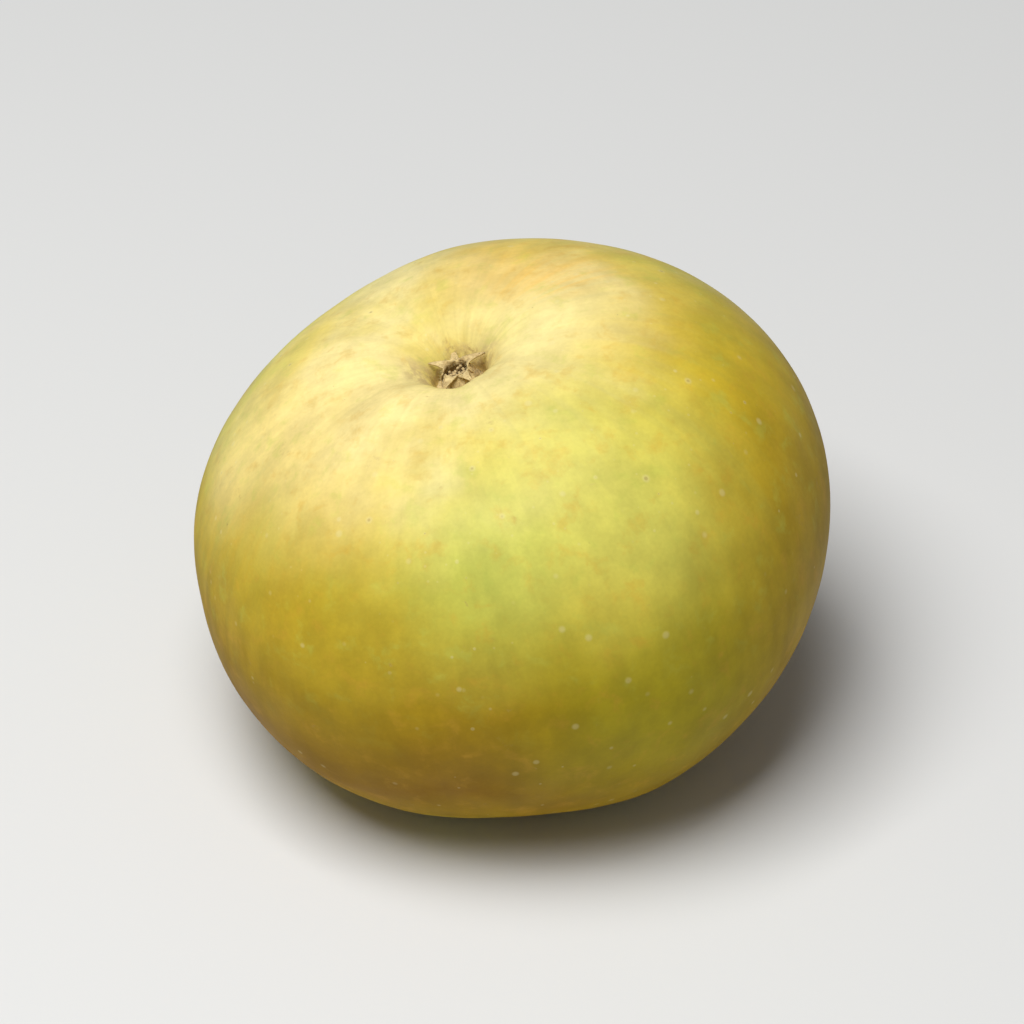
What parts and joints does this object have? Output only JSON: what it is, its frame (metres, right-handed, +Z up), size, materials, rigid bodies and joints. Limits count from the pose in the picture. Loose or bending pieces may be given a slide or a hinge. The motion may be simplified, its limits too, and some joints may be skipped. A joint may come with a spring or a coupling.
{
  "type": "whole apple",
  "caption": "Whole yellow-green russet apple, broad and lopsided, resting on its stalk end with the dried flower of its eye up.",
  "frame": {"origin": "on the surface that the apple stands on, under the middle of the fruit", "axes": "+Z up, from the stalk end to the eye end; the eye end leans towards -X"},
  "size_m": [0.073, 0.0722, 0.0562],
  "materials": {
    "skin": "satin apple skin, yellow-green, with tan russet, faint ochre streaks and pale dots",
    "calyx": "dry brown sepals with grey down",
    "stalk": "rough brown woody stalk"
  },
  "bodies": {
    "root": {"apple_body": "skin", "calyx": "calyx", "stalk": "stalk"}
  },
  "joints": []
}
